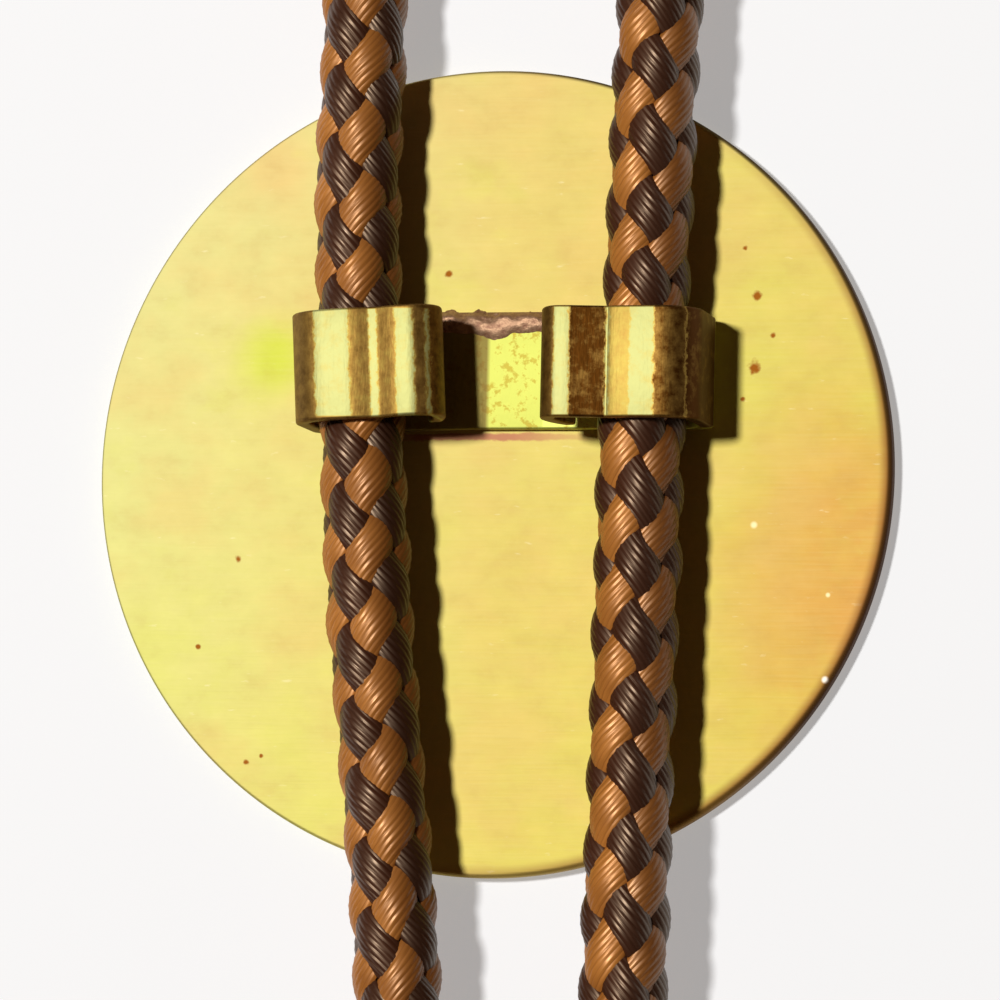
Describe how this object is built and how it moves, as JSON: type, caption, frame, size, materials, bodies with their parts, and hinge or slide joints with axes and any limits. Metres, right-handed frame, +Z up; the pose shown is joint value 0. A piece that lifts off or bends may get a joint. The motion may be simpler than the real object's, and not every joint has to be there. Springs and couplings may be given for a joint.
{
  "type": "bolo tie",
  "caption": "Bolo tie: a round sheet brass slide, a strip clip soldered across its back, and one two-colour braided cord through the clip's loops with turned tips.",
  "frame": {"origin": "centre of the slide's front face, which lies on the ground plane", "axes": "+Z up, out of the slide's back; +Y from the slide towards the neck loop, so the tails run towards -Y; +X to the right as the back is seen"},
  "size_m": [0.1327, 0.4318, 0.0071],
  "materials": {
    "brass": "rolled sheet, fine straight grain, lightly worn",
    "tip_brass": "turned, satin",
    "braid": "eight-strand round braid, dark brown and tan, glossy filaments"
  },
  "bodies": {
    "root": {"slide": "brass", "cord": "braid", "tip_left": "tip_brass", "tip_right": "tip_brass"}
  },
  "joints": []
}
